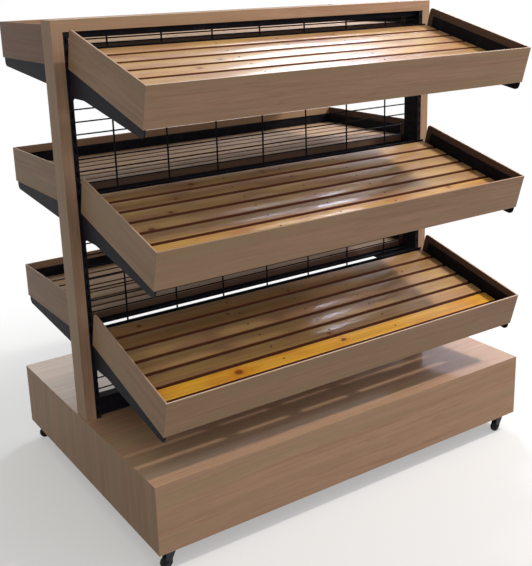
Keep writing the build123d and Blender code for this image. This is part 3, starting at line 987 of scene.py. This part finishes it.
class RACK_OT_castors(bpy.types.Operator):
    """Builds the wheels, axle nuts and plate screws, and finishes the forks and plates"""
    bl_idname = "rack.castors"
    bl_label = "Castors"

    def execute(self, context):
        metal = dark_metal("castor_metal", context.scene.rack_colours.castor, shine=0.35)
        rubber = tyre()
        wheel, nut, screw = wheel_pattern(), nut_pattern(), screw_pattern()
        over = Matrix.Rotation(pi, 4, "X")
        paint(metal, "castor_plates")
        plate_screws = []
        for corner in CORNERS:
            paint(metal, f"castor_fork_{corner}")
            axle = JOINTS[f"{corner}_wheel_spin"]
            middle = Vector(axle["pos_m"])
            line = Vector(axle["axis"])
            lie, back = (ALONG_Z.rotation_difference(way).to_matrix().to_4x4() for way in (line, -line))
            joined(f"wheel_{corner}", [copied(wheel, Matrix.Translation(middle) @ lie)], rubber,
                   f"{corner}_wheel", "wheel_rubber", f"castor_wheel_{corner}")
            nuts = [copied(nut, Matrix.Translation(middle + line * FORK_HALF) @ lie),
                    copied(nut, Matrix.Translation(middle - line * FORK_HALF) @ back)]
            joined(f"axle_nuts_{corner}", nuts, metal, f"{corner}_swivel", "castor_steel")
            pivot = Vector(JOINTS[f"{corner}_swivel_turn"]["pos_m"])
            for x in (-PLATE_SCREW_REACH, PLATE_SCREW_REACH):
                for y in (-PLATE_SCREW_REACH, PLATE_SCREW_REACH):
                    spot = Vector((pivot.x + x, pivot.y + y, PLATE_BOTTOM))
                    plate_screws.append(copied(screw, Matrix.Translation(spot) @ over))
        joined("castor_plate_screws", plate_screws, metal, "rack", "castor_steel")
        drop_patterns(wheel, nut, screw)
        return {"FINISHED"}


class RACK_OT_stage(bpy.types.Operator):
    """Sets the floor, the light and the camera at the photograph's viewing angle"""
    bl_idname = "rack.stage"
    bl_label = "Studio stage"

    def execute(self, context):
        context.scene.view_settings.view_transform = "Standard"
        stage_floor(context)
        stage_world(context)
        stage_lamps(context)
        stage_camera(context)
        return {"FINISHED"}


def stage_floor(context):
    """Pale floor that keeps the rack's shadow and turns white further out."""
    stage = context.scene.rack_stage
    deselect()
    bpy.ops.mesh.primitive_circle_add(vertices=64, radius=FLOOR_RADIUS, fill_type="NGON")
    floor = context.object
    floor.name = "floor"
    material = bpy.data.materials.new("floor")
    material.use_nodes = True
    nodes = Nodes(material.node_tree)
    reach = nodes.vector("LENGTH", nodes.place(), output="Value")
    far = nodes.step(reach, *FLOOR_FADE) * (1 - FLOOR_WHITE) + FLOOR_WHITE
    seen = nodes.seen()
    tint = nodes.blend(seen, stage.floor_bounce, stage.floor)
    near = nodes.node("ShaderNodeBsdfDiffuse", {}, {"Color": tint})
    glow = seen * (1 - FLOOR_GLOW) + FLOOR_GLOW
    white = nodes.node("ShaderNodeEmission", {}, {"Color": WHITE, "Strength": glow})
    mixed = nodes.node("ShaderNodeMixShader", {}, {0: far, 1: near, 2: white})
    nodes.node("ShaderNodeOutputMaterial", {}, {"Surface": mixed})
    floor.data.materials.append(material)


def stage_world(context):
    """White surroundings that light the rack softly, a little more from the front right."""
    stage = context.scene.rack_stage
    world = bpy.data.worlds.new("studio")
    world.use_nodes = True
    context.scene.world = world
    nodes = Nodes(world.node_tree)
    way = nodes.node("ShaderNodeTexCoord", output="Generated")
    toward = nodes.vector("DOT_PRODUCT", way, BRIGHT_SIDE, output="Value")
    soft = toward * stage.drift + stage.ambient
    seen = nodes.seen()
    glow = seen + soft * (1 - seen)
    tint = nodes.blend(nodes.step(toward, -TINT_TURN, TINT_TURN), stage.warm_side, stage.cool_side)
    shown = nodes.blend(seen, tint, WHITE)
    light = nodes.node("ShaderNodeBackground", {}, {"Color": shown, "Strength": glow})
    nodes.node("ShaderNodeOutputWorld", {}, {"Surface": light})


def stage_lamps(context):
    """Key lamp from the upper right, two lamps that glance off the decks and two pale panels behind."""
    for name, (tint, place, aim, size, spread) in LAMPS.items():
        lamp = bpy.data.lights.new(name, "AREA")
        lamp.shape = "RECTANGLE"
        lamp.energy = getattr(context.scene.rack_stage, f"{name}_power")
        lamp.size, lamp.size_y = size
        lamp.spread = spread
        lamp.color = tint
        piece = bpy.data.objects.new(name, lamp)
        context.collection.objects.link(piece)
        piece.location = place
        piece.rotation_euler = (Vector(aim) - Vector(place)).to_track_quat("-Z", "Y").to_euler()


def stage_camera(context):
    """Camera at the photograph's viewing angle."""
    longer = max(PHOTO_SIZE)
    lens = bpy.data.cameras.new("camera")
    lens.sensor_width = SENSOR
    lens.lens = FOCAL_PIXELS / longer * SENSOR
    lens.shift_x = (PHOTO_SIZE[0] / 2 - OPTICAL_CENTRE[0]) / longer
    lens.shift_y = (OPTICAL_CENTRE[1] - PHOTO_SIZE[1] / 2) / longer
    lens.clip_end = FAR_CLIP
    camera = bpy.data.objects.new("camera", lens)
    context.collection.objects.link(camera)
    ahead = Vector((-sin(YAW) * cos(PITCH), cos(YAW) * cos(PITCH), sin(PITCH)))
    right = Vector((cos(YAW), sin(YAW), 0))
    up = right.cross(ahead)
    level_right = right * cos(ROLL) + up * sin(ROLL)
    level_up = up * cos(ROLL) - right * sin(ROLL)
    turn = Matrix((level_right, level_up, -ahead)).transposed().to_4x4()
    camera.matrix_world = Matrix.Translation(EYE) @ turn
    context.scene.camera = camera


class RACK_PT_panel(bpy.types.Panel):
    """Lists the rack's builders and their settings"""
    bl_idname = "RACK_PT_panel"
    bl_label = "Bread rack"
    bl_space_type = "VIEW_3D"
    bl_region_type = "UI"
    bl_category = "Rack"

    def draw(self, context):
        for operator in OPERATORS:
            self.layout.operator(operator.bl_idname)
        for group in (context.scene.rack_sizes, context.scene.rack_colours, context.scene.rack_stage):
            box = self.layout.box()
            for name in group.__annotations__:
                box.prop(group, name)


OPERATORS = (RACK_OT_laminate, RACK_OT_steelwork, RACK_OT_wire_grid, RACK_OT_slats, RACK_OT_slat_screws,
             RACK_OT_battens, RACK_OT_castors, RACK_OT_stage)
CLASSES = (RackSizes, RackColours, RackStage, *OPERATORS, RACK_PT_panel)


def register():
    """Registers the classes and hangs the settings on the scene."""
    for item in CLASSES:
        bpy.utils.register_class(item)
    bpy.types.Scene.rack_sizes = PointerProperty(type=RackSizes)
    bpy.types.Scene.rack_colours = PointerProperty(type=RackColours)
    bpy.types.Scene.rack_stage = PointerProperty(type=RackStage)


def unregister():
    """Takes the settings and the classes away again."""
    del bpy.types.Scene.rack_stage
    del bpy.types.Scene.rack_colours
    del bpy.types.Scene.rack_sizes
    for item in reversed(CLASSES):
        bpy.utils.unregister_class(item)


def main():
    """Builds the dressed rack on its stage."""
    register()
    bpy.ops.rack.laminate()
    bpy.ops.rack.steelwork()
    bpy.ops.rack.wire_grid()
    bpy.ops.rack.slats()
    bpy.ops.rack.slat_screws()
    bpy.ops.rack.battens()
    bpy.ops.rack.castors()
    bpy.ops.rack.stage()


if __name__ == "__main__":
    main()
